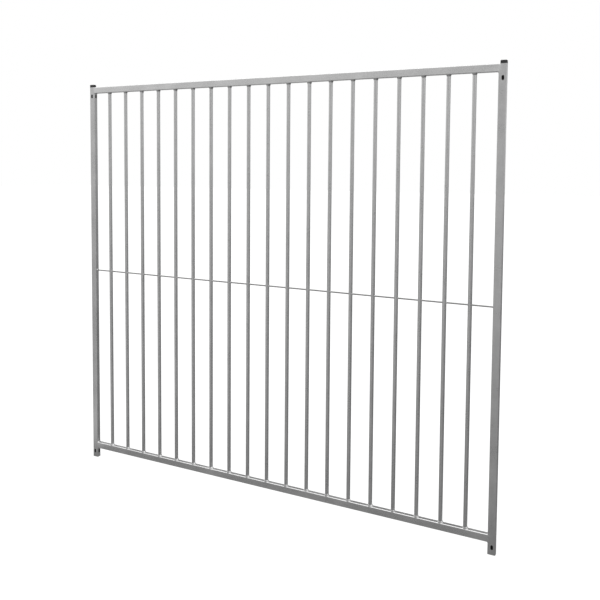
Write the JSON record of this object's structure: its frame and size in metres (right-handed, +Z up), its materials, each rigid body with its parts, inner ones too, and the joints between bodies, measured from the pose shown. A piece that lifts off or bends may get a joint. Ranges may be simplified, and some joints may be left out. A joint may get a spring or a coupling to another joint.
{
  "type": "barrier panel",
  "caption": "Galvanised steel barrier panel with upright round bars between two tube rails, slotted tube posts with black end caps, and a thin rod through the bars at half height.",
  "frame": {"origin": "on the ground, midway between the two posts and midway between the front and back faces; the posts' foot ends stand at z = 0", "axes": "+X along the panel towards the right post, -Y out of the front face, +Z up"},
  "size_m": [2, 0.02, 1.8565],
  "materials": {
    "post_steel": "hot-dip galvanised, dull grey, semi-matt",
    "rail_steel": "hot-dip galvanised, dull grey, semi-matt",
    "bar_steel": "hot-dip galvanised, dull grey, semi-matt",
    "rod_steel": "galvanised, bright grey, satin",
    "cap_plastic": "moulded black polyethylene, semi-matt"
  },
  "bodies": {
    "root": {"left_post": "post_steel", "right_post": "post_steel", "top_rail": "rail_steel", "bottom_rail": "rail_steel", "bar_01": "bar_steel", "bar_02": "bar_steel", "bar_03": "bar_steel", "bar_04": "bar_steel", "bar_05": "bar_steel", "bar_06": "bar_steel", "bar_07": "bar_steel", "bar_08": "bar_steel", "bar_09": "bar_steel", "bar_10": "bar_steel", "bar_11": "bar_steel", "bar_12": "bar_steel", "bar_13": "bar_steel", "bar_14": "bar_steel", "bar_15": "bar_steel", "bar_16": "bar_steel", "bar_17": "bar_steel", "bar_18": "bar_steel", "bar_19": "bar_steel", "mid_rod": "rod_steel", "left_cap": "cap_plastic", "right_cap": "cap_plastic"}
  },
  "joints": []
}
